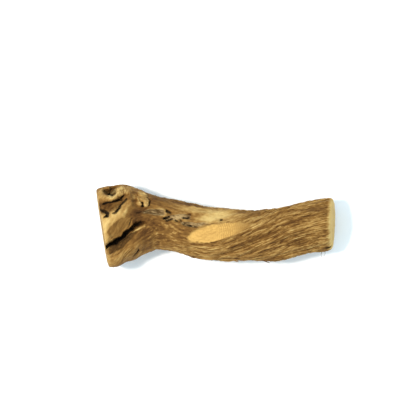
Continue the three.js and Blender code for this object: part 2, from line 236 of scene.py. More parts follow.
# Finer grooves, which only the dressed body has.
FINE_GROOVES = {
    "upper_crevice": [
        (-92.3, 18.2, 1.0, 3.5),
        (-86.6, 19.4, 0.9, 4.0),
        (-80.6, 20.6, 1.0, 4.5),
        (-77.6, 21.4, 1.0, 4.5),
        (-75.4, 24.8, 0.6, 2.5),
    ],
    "lower_crevice": [
        (-72.6, 22.2, 0.9, 3.2),
        (-78.2, 17.4, 1.2, 4.5),
        (-79.2, 14.2, 1.3, 4.5),
        (-81.8, 10.6, 1.1, 3.5),
        (-84.6, 9.0, 0.5, 1.5),
    ],
    "hook": [
        (-96.1, 13.4, 0.8, 3.5),
        (-90.6, 12.3, 1.3, 5.0),
        (-88.3, 10.2, 1.7, 6.5),
        (-88.9, 8.0, 1.8, 6.5),
        (-91.0, 6.8, 0.9, 3.0),
    ],
    "lobe_dot": [(-87.2, 0.8, 0.5, 1.4), (-86.8, 0.8, 0.5, 1.4)],
    "pit_pocket": [(-87.6, 26.4, 1.6, 3.0), (-85.2, 25.8, 1.4, 2.4)],
    "hole_near_head": [(-42.8, 6.4, 1.0, 4.0), (-39.0, 7.3, 0.9, 3.4)],
    "slit_near_head": [(-40.0, 4.7, 0.8, 3.2), (-36.0, 6.0, 0.7, 2.8)],
    "gap_near_head": [(-40.6, 12.8, 1.3, 3.2), (-37.4, 10.6, 1.3, 2.8)],
    "hole_middle": [(-26.6, 6.3, 0.9, 3.0), (-22.6, 6.6, 0.9, 2.8)],
    "gap_middle": [(-25.8, 9.0, 0.5, 1.3), (-23.0, 8.6, 0.7, 1.4), (-20.6, 9.2, 1.0, 1.5)],
    "nibble_left": [(-33.8, 5.4, 0.8, 2.2), (-32.0, 4.4, 0.9, 2.2)],
    "nibble_right": [(-30.2, 5.2, 0.9, 2.2), (-28.4, 4.2, 0.9, 2.2)],
    "trench_tip": [(-64.8, 10.4, 0.8, 1.8), (-62.0, 10.2, 0.6, 1.2)],
    "cleft_tail": [(-66.4, 0.2, 1.2, 2.4), (-62.8, 2.2, 1.3, 2.8), (-58.0, 2.6, 0.7, 1.2)],
    "slit_middle": [(-34.2, 3.8, 0.5, 1.4), (-28.4, 3.6, 0.6, 1.8)],
    "rib_near_limb": [(-28.0, 1.2, 0.6, 2.0), (-25.2, 2.6, 0.6, 1.8), (-21.6, 2.4, 0.5, 1.2)],
    "rib_under": [(-25.6, 0.2, 0.5, 1.6), (-22.8, 0.4, 0.6, 1.6), (-21.4, -1.6, 0.5, 1.2)],
    "hole_near_limb": [(-21.2, 0.2, 0.8, 3.0), (-20.6, 0.1, 0.8, 3.0)],
    "slit_near_limb": [(-18.6, -0.8, 0.6, 2.0), (-15.2, -1.4, 0.6, 1.6)],
    "front_line": [
        (-40.6, -14.4, 0.4, 0.9),
        (-27.6, -17.2, 0.5, 1.2),
        (-16.0, -18.2, 0.5, 1.3),
        (-7.0, -18.6, 0.5, 1.1),
    ],
    "front_line_right": [(-0.6, -18.2, 0.4, 0.9), (9.0, -16.4, 0.4, 0.9)],
    "front_dash": [(-6.6, -21.6, 0.5, 1.2), (-2.4, -21.4, 0.5, 1.2)],
    "scar_edge": [(-10.0, 1.3, 0.4, 0.9), (-5.0, 1.7, 0.5, 1.5), (-0.6, 1.8, 0.4, 0.9)],
    "scar_foot": [(-19.0, -14.0, 0.4, 0.9), (-13.0, -14.6, 0.5, 1.1), (-6.0, -14.0, 0.4, 0.7)],
    "worm_hole": [(3.6, 5.1, 0.9, 3.0), (4.2, 5.1, 0.9, 3.0)],
    "worm_nick": [(8.6, 3.7, 0.5, 1.4), (10.0, 3.3, 0.5, 1.2)],
    "flake_gap": [(-55.0, 22.4, 0.7, 1.6), (-54.4, 19.4, 0.9, 2.6), (-55.0, 16.6, 0.7, 2.0)],
    "flake_notch": [(-61.0, 19.6, 0.7, 2.6), (-60.2, 16.4, 1.0, 3.0)],
    "lobe_crack": [(-69.3, 5.8, 0.5, 1.2), (-70.2, 2.2, 0.8, 2.4), (-71.6, -1.0, 0.6, 1.6)],
    "front_crack": [(-69.4, -26.8, 0.6, 2.4), (-63.6, -19.8, 0.7, 3.0)],
    "front_split": [(-75.0, -24.6, 0.4, 1.0), (-67.4, -17.6, 0.5, 1.4)],
    "front_seam": [(-92.0, -28.2, 0.4, 0.8), (-80.0, -23.0, 0.5, 1.2), (-72.0, -15.6, 0.4, 1.0)],
    "corner_slit": [(90.6, -17.4, 0.6, 3.6), (95.0, -17.0, 0.8, 4.0)],
}

# Smooth brown strips between the fibres, where the last bark has worn off: x, y, half width and
# depth along each one.
STRIPS = {
    "long": [(25.0, -12.6, 0.8, 0.5), (34.0, -9.6, 2.3, 0.9), (49.0, -5.2, 1.2, 0.5)],
    "upper": [(32.0, -3.2, 0.7, 0.5), (40.0, -0.8, 1.4, 0.8), (48.0, 1.8, 0.8, 0.5)],
    "middle": [(53.0, 0.4, 0.9, 0.5), (61.0, 3.0, 1.7, 0.8), (70.0, 6.2, 0.8, 0.5)],
    "back": [(70.0, 11.6, 1.2, 0.4), (78.0, 13.6, 2.2, 0.7), (88.0, 15.6, 1.4, 0.4)],
    "front": [(58.0, -13.4, 0.8, 0.4), (66.0, -11.4, 1.5, 0.7), (74.0, -8.8, 0.8, 0.4)],
}

# The flat facet along the middle lobe's lower side: a point on its plane, which way it falls from
# +X and how steeply, and a line along its middle with half widths and share.
FACET_POINT = (-80.0, 3.8, 55.8)
FACET_BEARING = math.radians(-48)
FACET_SLOPE = math.radians(40)
FACET_MIDDLE = [(-82.6, -4.8, 5.6, 1.0), (-74.4, 2.2, 5.6, 1.0)]
FACET_TONE = 0.52
FACET_TONE_DEPTHS = (0.05, 0.4)

# Layers of noise on the surface, each with its size, height and seed: what frays the edges of
# carved forms along x and y, and the scar's edge; the bark's drips and lumps; the trenches' pores;
# the weathering all over; and the mottling of the painted shade in the hollows.
FRAY_X = ((5.5, 1.1, 21), (1.9, 0.55, 22))
FRAY_Y = ((5.5, 1.1, 31), (1.9, 0.55, 32))
SCAR_FRAY = ((3, 1.2, 51), (1.3, 0.6, 52))
BARK_DRIPS = ((2.4, 1.0, 45),)
BARK_LUMPS = ((2.6, 1.3, 11), (1.2, 0.5, 12))
PORES = ((1.1, 0.4, 13),)
WEATHERING = ((4, 0.5, 71), (1.7, 0.25, 72))
SHADE_MOTTLE = ((1.6, 0.35, 81),)
EVEN_FRAY = 0.35  # share of the fraying at the trenches' edges and the fine ridges
SCAR_FRAY_DRAW = 2  # how much farther the scar's edge frays along x than along y

# Strands with furrows between them: width, length, share and seed of each layer.
STRANDS = ((2.4, 24, 0.38, 3), (1.3, 13, 0.38, 5), (0.75, 7, 0.24, 7))
STRAND_MIDDLE = 0.45
STRAND_HEIGHTS = (0.26, 1.6)  # on smooth and on fibrous wood
STRAND_SCAR_FRAY = 3  # how far the strands fray the scar's edge, once past these x
STRAND_SCAR_START = (-10, 20)
SCAR_POLISH = 0.93  # share of the strands' height that is gone on the scar, a strip and the rim
STRIP_POLISH = 0.75
RIM_POLISH = 0.7

# Where the wood turns fibrous: between these x below, and above along a line that slants back from
# the front, measured from its y; and the layered wood on the front lobe.
FIBROUS_BELOW = (-60, -20)
FIBROUS_ABOVE = (-58, -22)
FIBROUS_SLANT = 2.33
FIBROUS_Y = -20
LAYERED = (-78.0, -25.0, 16, 10, 0, 0.35)

# The pale rim at the limb's saw cut, in shares of the worn edge: its reach, and how far it wanders
# and the strands fringe it. The wander's noise has a width, a length and a seed.
RIM_REACH = 0.9
RIM_WANDER = 0.45
RIM_WANDER_NOISE = (5, 40, 61)
RIM_FRINGE = 0.3

# Depths and heights at which forms take on their own look.
POROUS_DEPTHS = (0.4, 1.5)
STRIP_FULL_DEPTH = 0.6
BARK_FULL_HEIGHT = 2
CREST_FULL_HEIGHT = 4

# Painted shade in the grooves, by their depth: from which depth it starts, fully at which, and how
# much.
HOLLOW_SHADING = {
    "cleft": (7.0, 14.0, 1.0),
    "cleft_wall": (1.8, 4.8, 0.6),
    "pit": (2.5, 9.0, 0.6),
    "valley": (2.0, 7.0, 0.2),
}
FINE_HOLLOW_SHADING = (0.5, 2.6, 0.93)
WALL_SHADE_START = (-90.5, -84.5)  # x between which the painted shade on the cleft's wall starts

# Lightness of the wood, where 0 is nearly black and 1 nearly white, and what changes it on the
# upper side: each ridge, paler with its height, which is partly worn pale wood and partly a painted
# highlight, and patches with x, y, reach along and across, turn and amount, one of them painted shade.
PLAIN_TONE = 0.47
END_TONES = (0.74, 1.0)  # of the head's and the limb's sawn face
STRIP_TONE = -0.12
# Painted highlight on the bark's lumps and painted shade in the creases between them.
BARK_LUMP_SHADING = 0.12
# Paler on each ridge's crest: partly worn pale wood, partly a painted highlight.
CREST_PALENESS_AND_HIGHLIGHT = {"pit_rim": 0.21, "middle_lobe": 0.44, "front_lobe": 0.06}
# Paler along the fine ridges: partly pale wood, partly a painted highlight on their crests.
FINE_CREST_PALENESS_AND_HIGHLIGHT = {
    "pit_edge": 1.1,
    "pit_blade": 1.0,
    "lobe_edge": 1.2,
    "crack_lip": 1.3,
    "long_fibre": 1.4,
    "upper_fibre": 1.4,
    "trench_rim": 1.0,
    "lip": 1.9,
}
TONES = (
    (2.5, 11.0, 17, 5.0, 0, 0.42),
    (-30.5, 7.0, 6, 2.6, 0, 0.24),
    (-22.0, 1.0, 7, 3.0, 0, -0.02),
    (-21.6, 8.8, 2.4, 1.7, 0, -0.3),
    (-6.0, 3.4, 8, 2.5, 0, 0.14),
    (-1.5, 5.6, 15, 4.0, 0, 0.3),
    (33.0, 5.0, 12, 6.0, 15, 0.14),
    (-74.0, 29.0, 6, 6.0, 0, 0.1),
    (-30.0, -8.0, 12, 8.0, 0, 0.08),
    (-20.0, 14.0, 12, 5.0, -10, 0.16),
    (-9.0, -19.5, 32, 6.0, 0, 0.06),
    (-55.0, -4.0, 18, 14.0, 0, -0.19),
    (-43.0, 19.0, 20, 8.0, -12, -0.08),
    (-65.5, 11.5, 8, 9.0, 0, -0.2),
    (-67.0, 24.0, 2.0, 2.0, 0, 0.5),
    (-67.0, 24.0, 3.4, 3.4, 0, -0.14),
    (22.0, 12.2, 11, 2.6, -6, -0.24),
    (-88.0, 16.0, 10, 5.0, 15, -0.26),
    (70.6, 14.0, 26, 4.0, 12, -0.06),
    (-70.0, 20.0, 4, 9.0, -15, -0.12),
    (-94.0, -5.0, 5, 12.0, 0, 0.14),
    (-88.6, -25.5, 3.6, 8.0, 0, 0.24),
    (-51.2, -14.4, 1.6, 5.0, 0, 0.24),
    (-49.3, -5.8, 2.4, 1.7, 0, 0.22),
    (-39.8, -8.0, 2.8, 1.6, -20, 0.2),
    (-40.8, -1.0, 1.8, 1.8, 0, 0.25),
    (-44.3, 2.1, 0.8, 2.2, 0, 0.25),
    (-30.4, -4.2, 4.8, 0.9, -28, 0.22),
    (-34.2, -2.2, 3.0, 1.0, -24, 0.16),
    (-15.0, 9.0, 7, 1.8, 20, -0.16),
    # Painted shade: a thin dark strip along the back edge, on the side turned away from the light.
    (-16.0, 17.2, 15, 1.4, -9, -0.35),
    (-27.0, -8.0, 6, 8.0, 0, -0.11),
    (60.0, -20.0, 36, 5.0, 8, 0.07),
    (68.0, -13.0, 5, 5.0, 0, -0.1),
    (66.0, -1.0, 10, 4.0, 20, 0.1),
)

# Patches of the same form: combed streaks beside the pit, with the size and seed of their noise,
# and scuffs on the neck. Then the scar's colour: from which share of the cut it shows, and how far it
# fades towards the limb, between which x.
COMBED = (-75.5, 29.5, 6, 7, 0, 0.8)
COMB_SIZE = (0.7, 7, 7)
COMB_SEED = 41
SCUFFED = (-42.0, -6.0, 24, 15, 0, 1.0)
SCAR_SHOWS = (0.2, 0.8)
SCAR_FADE = (8, 26)
SCAR_FADE_SHARE = 0.8

# The mesh: rings in each span between sections, points round, and rings across a sawn face.
SPAN_RINGS = (16, 18, 20, 20, 16, 14, 16, 14, 13, 13, 13, 13, 13, 13)
POINTS_ROUND = 410
CROWDING = 0.22
EDGE_RINGS = (0.0, 0.06, 0.2, 0.5)
FACE_RINGS = (0.95, 0.87, 0.77, 0.66, 0.55, 0.44, 0.33, 0.2, 0.08)
FACE_BLEND = (0.82, 1)  # shares of a sawn face between which its rim's look ends
GRAIN_RADIUS = 21.0  # radius of the cylinder on which the grain's pattern is laid out

# Loose fibres on the limb: where they start and how far they run, as shares of the length, how far
# they lift, how thick they are and how light. They lie on wood that is at least this fibrous.
FIBRE_SEED = 7
FIBRE_COUNT = 240
FIBRE_STEPS = 14
FIBRE_START = (0.52, 0.95)
FIBRE_RUN = (0.03, 0.09)
FIBRE_LIFT = (0.0, 0.7)
FIBRE_RADIUS = (0.22, 0.5)
FIBRE_TONE = (0.5, 0.85)
FIBRE_LEAST = 0.4
FIBRE_CURL = 4  # power by which the lift grows towards the tip
FIBRE_TIP = 0.15  # share of the thickness that is left at the ends
FIBRE_BELLY = 0.6  # power that fills out the middle
TUBE_SIDES = 6

# Hairs and the splinter on the limb's lower edge: three points each on its curve, and thickness.
HAIRS = (
    (((87.8, -20.4, 14.0), (86.9, -23.0, 11.0), (88.4, -26.0, 9.0)), 0.22),
    (((90.2, -20.0, 14.0), (91.4, -22.8, 12.0), (89.2, -24.6, 10.0)), 0.2),
    (((33.6, -25.8, 20.0), (38.2, -27.6, 20.0), (44.4, -30.0, 19.0)), 0.95),
)
HAIR_STEPS = 12
HAIR_TONE = 0.3
HAIR_TAPER = 0.8


# Small tools

NOISE_GAIN = 1.4  # brings gradient noise to about -1 to 1


def smoothstep(x, low, high):
    share = np.clip((x - low) / (high - low), 0, 1)
    return share * share * (3 - 2 * share)


def bell(distance):
    return np.exp(-distance * distance)


def lerp(a, b, share):
    return a + (b - a) * share


def catmull_rom(values, t):
    """Values along the sections at shares t of the length, and how fast they change."""
    padded = np.vstack([2 * values[0] - values[1], values, 2 * values[-1] - values[-2]])
    spans = len(values) - 1
    span = np.minimum((t * spans).astype(int), spans - 1)
    u = (t * spans - span)[:, None]
    p0, p1, p2, p3 = (padded[span + k] for k in range(4))
    m1, m2 = (p2 - p0) / 2, (p3 - p1) / 2
    a = 2 * p1 - 2 * p2 + m1 + m2
    b = -3 * p1 + 3 * p2 - 2 * m1 - m2
    return ((a * u + b) * u + m1) * u + p1, (3 * a * u + 2 * b) * u + m1


def noise(points, seed):
    """Smooth gradient noise, about -1 to 1, at an array of points."""
    cell = np.floor(points).astype(np.int64)
    f = points - cell
    ease = f * f * f * (f * (f * 6 - 15) + 10)
    total = np.zeros(len(points))
    for corner in itertools.product((0, 1), repeat=3):
        # Mix the cell and the seed into a random slope at this corner.
        c = cell + corner
        h = c[:, 0] * 374761393 + c[:, 1] * 668265263 + c[:, 2] * 2147483647 + seed * 974634779
        h = (h ^ (h >> 13)) * 1274126177 & 0x7FFFFFFF
        h = (h ^ (h >> 16)) * 1911520717 & 0x7FFFFFFF
        slope = np.stack([(h >> k & 255) / 127.5 - 1 for k in (0, 8, 16)], axis=1)
        weight = np.prod(np.where(corner, ease, 1 - ease), axis=1)
        total += weight * np.sum(slope * (f - corner), axis=1)
    return total * NOISE_GAIN


def rough(point, layers):
    """Layers of noise, each with its size, height and seed, added up."""
    return sum(height * noise(point / size, seed) for size, height, seed in layers)


def around(count):
    """Each place on a ring with the next one."""
    return [(j, (j + 1) % count) for j in range(count)]


# The body's surface

def line_strength(points, profile, x, y):
    """How strongly a line of points acts at each place on the upper side."""
    strongest = np.zeros_like(x)
    for (ax, ay, a_half, a_depth), (bx, by, b_half, b_depth) in itertools.pairwise(points):
        dx, dy = bx - ax, by - ay
        share = np.clip(((x - ax) * dx + (y - ay) * dy) / (dx * dx + dy * dy), 0, 1)
        away = np.hypot(x - ax - share * dx, y - ay - share * dy)
        here = lerp(a_depth, b_depth, share) * profile(away / lerp(a_half, b_half, share))
        strongest = np.maximum(strongest, here)
    return strongest


def strengths_at(lines, profile, x, y, upward):
    return {name: line_strength(points, profile, x, y) * upward for name, points in lines.items()}


def strongest_of(strengths):
    return np.max(list(strengths.values()), axis=0)


def groove_profile(away):
    wall = 1 - smoothstep(away, *GROOVE_WALL)
    return lerp(wall, bell(away / GROOVE_LIP_REACH), GROOVE_LIP_SHARE)


def crest_profile(away):
    return bell(CREST_STEEPNESS * away)


def flake_profile(away):
    return 1 - smoothstep(away, *FLAKE_EDGE)


def section_at(t):
    """Centre, back and up directions, half width and half height of the sections at t."""
    values, slope = catmull_rom(SECTIONS, t)
    along = slope[:, :3] / np.linalg.norm(slope[:, :3], axis=1, keepdims=True)
    lean = LIMB_SAW_LEAN * smoothstep(t, 1 - SAW_LEAN_RUN, 1)
    lean = lean - HEAD_SAW_LEAN * (1 - smoothstep(t, 0, SAW_LEAN_RUN))
    along[:, 2] += np.tan(lean)
    along[:, 1] -= math.tan(LIMB_SAW_SKEW) * smoothstep(t, 1 - SAW_LEAN_RUN, 1)
    along /= np.linalg.norm(along, axis=1, keepdims=True)
    back = np.cross((0, 0, 1), along)
    back /= np.linalg.norm(back, axis=1, keepdims=True)
    return values[:, :3], back, np.cross(along, back), values[:, 3], values[:, 4]


def twist_at(x):
    return sum(turn * smoothstep(x, low, high) for turn, low, high in TWISTS)


def edge_inset(distance, wear):
    left = np.clip(wear - distance, 0, wear)
    return wear - math.sqrt(wear * wear - left * left)


def gnarl_at(point):
    share = lerp(1, LIMB_GNARL, smoothstep(point[:, 0], *GNARL_FADE))
    return share * sum(height * np.sin(point @ wave + phase) for wave, phase, height in GNARLS)


def ridge_at(x, fibre, bare):
    fade = smoothstep(x, *RIDGE_FADE) * (1 - bare)
    drift = np.sin(x / RIDGE_WANDER)
    return fade * sum(h * np.sin(count * fibre + phase + drift) for count, h, phase in RIDGES)


def scar_at(x, y):
    dx, dy = x - SCAR_CENTRE[0], y - SCAR_CENTRE[1]
    along = dx * math.cos(SCAR_TURN) + dy * math.sin(SCAR_TURN)
    across = dy * math.cos(SCAR_TURN) - dx * math.sin(SCAR_TURN)
    run = along / SCAR_HALF[0]
    half_width = SCAR_HALF[1] * (1 - SCAR_TAPER * np.clip(run, -1, 1))
    return 1 - smoothstep(np.hypot(run, across / half_width), *SCAR_EDGE)


def facet_at(point, x, y):
    """How far the facet's plane cuts into the surface at each point, where its edge is at x and y."""
    run = (point[:, 0] - FACET_POINT[0]) * math.cos(FACET_BEARING)
    run = run + (point[:, 1] - FACET_POINT[1]) * math.sin(FACET_BEARING)
    above = point[:, 2] - (FACET_POINT[2] - run * math.tan(FACET_SLOPE))
    inside = line_strength(FACET_MIDDLE, flake_profile, x, y)
    return np.maximum(0, above) * inside


def patch_at(x, y, patch):
    """A soft oval patch with its x, y, reach along and across, turn and amount."""
    px, py, reach, width, turn, amount = patch
    cos, sin = math.cos(math.radians(turn)), math.sin(math.radians(turn))
    along = (x - px) * cos + (y - py) * sin
    across = (y - py) * cos - (x - px) * sin
    return amount * bell(np.hypot(along / reach, across / width))


def swelling_at(x, angle):
    total = np.zeros_like(x)
    for sx, s_angle, reach, spread, rise in SWELLINGS:
        round_by = np.arctan2(np.sin(angle - s_angle), np.cos(angle - s_angle))
        total += rise * bell((x - sx) / reach) * bell(round_by / spread)
    return total


def grain_place(fibre, along, width, length):
    """Places for noise that is drawn out along the fibres, seamless round the heart."""
    return np.stack([
        GRAIN_RADIUS * np.cos(fibre) / width,
        GRAIN_RADIUS * np.sin(fibre) / width,
        along / length,
    ], axis=1)


def strand_relief(fibre, along):
    """Rounded strands with sharp furrows between them, 0 in a furrow to about 1."""
    return sum(
        share * np.sqrt(np.abs(noise(grain_place(fibre, along, width, length), seed)))
        for width, length, share, seed in STRANDS
    )


def squared(value, power):
    return np.sign(value) * np.abs(value) ** power


def crowded(turn):
    """Angles from the back, with turns crowded together towards the upper side."""
    return turn - CROWDING * np.sin(turn - math.pi / 2)


def above_middle(strand):
    """How far a strand stands above the middle of its relief."""
    return strand - STRAND_MIDDLE


def rim_at(t, fibre, along, strand):
    """1 at the pale rim of the limb's saw cut, and 0 away from it."""
    width, length, seed = RIM_WANDER_NOISE
    wander = RIM_WANDER * noise(grain_place(fibre, along, width, length), seed)
    to_end = (1 - t) / LIMB_WEAR + wander + RIM_FRINGE * above_middle(strand)
    return 1 - smoothstep(to_end, 0.0, RIM_REACH)


def fibrous_at(x, y, upward):
    """How fibrous the wood is, before the smooth places are taken out."""
    above = smoothstep(x - FIBROUS_SLANT * (y - FIBROUS_Y), *FIBROUS_ABOVE)
    above = np.maximum(patch_at(x, y, LAYERED), above)
    return lerp(smoothstep(x, *FIBROUS_BELOW), above, upward)


def shade_in_hollows(x, point, carved, fine_carved):
    """Painted shade in the cracks, holes and grooves, the darker the deeper they are."""
    low, high, amount = FINE_HOLLOW_SHADING
    painted_shade = smoothstep(strongest_of(fine_carved), low, high) * amount
    shaded = carved | {"cleft_wall": carved["cleft_wall"] * smoothstep(x, *WALL_SHADE_START)}
    for name, (low, high, amount) in HOLLOW_SHADING.items():
        painted_shade = np.maximum(painted_shade, smoothstep(shaded[name], low, high) * amount)
    return np.clip(painted_shade * (1 + rough(point, SHADE_MOTTLE)), 0, 1)


# Lighter with each ridge's height: partly worn pale wood, partly a painted highlight.
def crest_paleness_and_highlight(raised, tones):
    return sum(
        amount * np.clip(raised[name] / CREST_FULL_HEIGHT, 0, 1) for name, amount in tones.items()
    )


def surface(t, angle, edge):
    """Points of the dressed surface at shares t of the length and angles from the back, the fibre
    that each one lies on, and the masks that colour them."""
    centre, back, up, half_width, half_height = section_at(t)
    heart_x = centre[:, 0]
    fibre = angle + twist_at(heart_x)
    cos, sin = np.cos(angle), np.sin(angle)
    power = lerp(HEAD_SQUARENESS, 1, smoothstep(heart_x, *SQUARE_FADE))
    outward = back * (half_width * squared(cos, power))[:, None]
    outward = outward + up * (half_height * squared(sin, power))[:, None]
    point = centre + outward
    outward /= np.linalg.norm(outward, axis=1, keepdims=True)
    upward = smoothstep(sin, *UPPER_SIDE)
    strand = strand_relief(fibre, heart_x)
    ragged = STRAND_SCAR_FRAY * above_middle(strand) * smoothstep(point[:, 0], *STRAND_SCAR_START)
    ragged = ragged + rough(point, SCAR_FRAY)
    bare = scar_at(point[:, 0] + SCAR_FRAY_DRAW * ragged, point[:, 1] + ragged) * upward

    # Broad forms push the surface out from the heart.
    broad = gnarl_at(point) + swelling_at(point[:, 0], math.pi / 2 - angle)
    broad = broad + ridge_at(point[:, 0], fibre, bare) - edge
    point = point + outward * broad[:, None]

    # Carved and raised forms lower and lift the upper side.
    x = point[:, 0] + rough(point, FRAY_X)
    y = point[:, 1] + rough(point, FRAY_Y)
    even_x, even_y = lerp(point[:, 0], x, EVEN_FRAY), lerp(point[:, 1], y, EVEN_FRAY)
    drip = rough(point, BARK_DRIPS)
    carved = strengths_at(GROOVES, groove_profile, x, y, upward)
    trench = strongest_of(strengths_at(TRENCHES, groove_profile, even_x, even_y, upward))
    fine_carved = strengths_at(FINE_GROOVES, groove_profile, x, y, upward)
    raised = strengths_at(CRESTS, crest_profile, x, y, upward)
    fine_raised = strengths_at(FINE_CRESTS, crest_profile, even_x, even_y, upward)
    flake = strongest_of(strengths_at(FLAKES, flake_profile, x + drip, y - drip, upward))
    strip = strongest_of(strengths_at(STRIPS, flake_profile, x, y, upward))
    shaved = np.maximum(0, point[:, 2] - (centre[:, 2] + half_height - SCAR_DEPTH)) * bare
    porous = smoothstep(trench, *POROUS_DEPTHS)
    bark = np.clip(flake / BARK_FULL_HEIGHT, 0, 1)
    lumps = rough(point, BARK_LUMPS)
    lift = strongest_of(raised) + strongest_of(fine_raised) + flake + lumps * bark
    lift = lift + rough(point, PORES) * porous - np.maximum(strongest_of(carved), trench)
    lift = lift - strongest_of(fine_carved) - shaved - strip
    point = point + up * lift[:, None]
    facet = facet_at(point, x, y) * upward
    point[:, 2] -= facet

    # Strands and weathering roughen it.
    worn = np.clip(strip / STRIP_FULL_DEPTH, 0, 1)
    rim = rim_at(t, fibre, heart_x, strand)
    fibrous = fibrous_at(x, y, upward) * (1 - bare) * (1 - porous)
    fibrous = fibrous * (1 - STRIP_POLISH * worn) * (1 - rim)
    relief = above_middle(strand) * lerp(*STRAND_HEIGHTS, fibrous)
    relief = relief * (1 - SCAR_POLISH * bare) * (1 - RIM_POLISH * rim)
    relief = relief + rough(point, WEATHERING) * (1 - bare)
    point = point + outward * relief[:, None]

    downward = smoothstep(-sin, *UNDER_SIDE)
    for fx, fy, reach, drop in FEET:
        away = np.hypot(point[:, 0] - fx, point[:, 1] - fy) / reach
        point[:, 2] -= drop * bell(away) * downward
    point[:, 2] = np.maximum(point[:, 2], 0)

    combed = patch_at(x, y, COMBED) * noise(point / COMB_SIZE, COMB_SEED)
    tone = sum(patch_at(x, y, patch) for patch in TONES) + combed
    # Painted highlight on the bark's lumps and painted shade in their creases.
    tone = PLAIN_TONE + tone * upward + STRIP_TONE * worn + BARK_LUMP_SHADING * lumps * bark
    # The ridges lighten the tone: partly pale wood, partly a painted highlight.
    tone = tone + crest_paleness_and_highlight(raised, CREST_PALENESS_AND_HIGHLIGHT) + crest_paleness_and_highlight(fine_raised, FINE_CREST_PALENESS_AND_HIGHLIGHT)
    masks = {
        "bare": smoothstep(bare, *SCAR_SHOWS) * (1 - SCAR_FADE_SHARE * smoothstep(x, *SCAR_FADE)),
        "painted_shade": shade_in_hollows(x, point, carved, fine_carved),
        "porous": porous,
        "flake": bark,
        "fibrous": fibrous,
        "strand": strand,
        "tone": lerp(tone, FACET_TONE, smoothstep(facet, *FACET_TONE_DEPTHS)),
        "rim": rim,
        "scuffed": patch_at(x, y, SCUFFED) * upward * (1 - porous),
    }
    return point, fibre, masks


def ring_places():
    """Shares of the length where rings lie, and how far each is drawn in by a worn edge."""
    head = [(s * HEAD_WEAR, edge_inset(s * HEAD_EDGE_WEAR, HEAD_EDGE_WEAR)) for s in EDGE_RINGS]
    limb = [(1 - s * LIMB_WEAR, edge_inset(s * LIMB_EDGE_WEAR, LIMB_EDGE_WEAR)) for s in EDGE_RINGS]
    middle = [
        (lerp(HEAD_WEAR, 1 - LIMB_WEAR, (span + i / rings) / SPANS), 0.0)
        for span, rings in enumerate(SPAN_RINGS)
        for i in range(rings)
    ]
    return np.array(head + middle + [(1 - LIMB_WEAR, 0.0)] + limb[::-1])


def new_object(name, points, faces):
    mesh = bpy.data.meshes.new(name)
    mesh.from_pydata(points * MM, [], faces)
    mesh.validate()
    mesh.shade_smooth()
    made = bpy.data.objects.new(name, mesh)
    bpy.context.scene.collection.objects.link(made)
    return made


def add_mask(made, name, values):
    store = made.data.attributes.new(name, "FLOAT", "POINT")
    store.data.foreach_set("value", values.astype(np.float32))


def add_vector(made, name, values):
    store = made.data.attributes.new(name, "FLOAT_VECTOR", "POINT")
    store.data.foreach_set("vector", values.astype(np.float32).ravel())


def grid_faces(rings, round_count):
    faces = []
    for first in range(0, (rings - 1) * round_count, round_count):
        after = first + round_count
        faces += [(first + j, first + k, after + k, after + j) for j, k in around(round_count)]
    return faces


def sawn_face(rim, start, flip):
    """Faces from a rim, through the rings whose points begin at start, to the point at the heart."""
    faces = []
    outer = rim
    for inner in range(start, start + len(FACE_RINGS) * POINTS_ROUND, POINTS_ROUND):
        faces += [(outer + j, inner + j, inner + k, outer + k) for j, k in around(POINTS_ROUND)]
        outer = inner
    heart = outer + POINTS_ROUND
    faces += [(outer + j, heart, outer + k) for j, k in around(POINTS_ROUND)]
    return [face[::-1] for face in faces] if flip else faces


def sawn_mask(name, rim_values, share, end):
    """A mask on a sawn face: its rim's values, which fade out towards the heart."""
    if name == "end":
        return np.ones(len(share))
    if name == "tone":
        return np.full(len(share), END_TONES[end])
    spread = np.append(np.tile(rim_values, len(FACE_RINGS)), 0)
    return spread * smoothstep(share, *FACE_BLEND)


def body():
    """The dressed body: side rings and two sawn faces in one closed skin."""
    places = ring_places()
    t = np.repeat(places[:, 0], POINTS_ROUND)
    edge = np.repeat(places[:, 1], POINTS_ROUND)
    turns = 2 * math.pi * np.arange(POINTS_ROUND) / POINTS_ROUND
    along = section_at(t)[0][:, 0]
    angle = crowded(np.tile(turns, len(places)) - twist_at(along))
    point, fibre, masks = surface(t, angle, edge)
    masks["end"] = np.zeros(len(t))
    share = np.ones(len(t))
    faces = grid_faces(len(places), POINTS_ROUND)

    face_share = np.append(np.repeat(FACE_RINGS, POINTS_ROUND), 0)
    for end, first in enumerate((0, len(t) - POINTS_ROUND)):
        rim = slice(first, first + POINTS_ROUND)
        heart = section_at(np.array([float(end)]))[0][0]
        faces += sawn_face(first, len(point), flip=end == 1)
        spokes = np.tile(point[rim] - heart, (len(FACE_RINGS), 1))
        spokes = np.vstack([spokes, np.zeros(3)]) * face_share[:, None]
        point = np.vstack([point, heart + spokes])
        fibre = np.concatenate([fibre, np.tile(fibre[rim], len(FACE_RINGS)), [0]])
        along = np.concatenate([along, np.full(len(face_share), heart[0])])
        share = np.concatenate([share, face_share])
        for name, values in masks.items():
            masks[name] = np.append(values, sawn_mask(name, values[rim], face_share, end))

    grain = grain_place(fibre, along, 1, 1)
    grain[:, :2] *= share[:, None]
    made = new_object("driftwood_body", point, faces)
    add_vector(made, "place", point)
    add_vector(made, "grain", grain)
    for name, values in masks.items():
        add_mask(made, name, values)
    return made


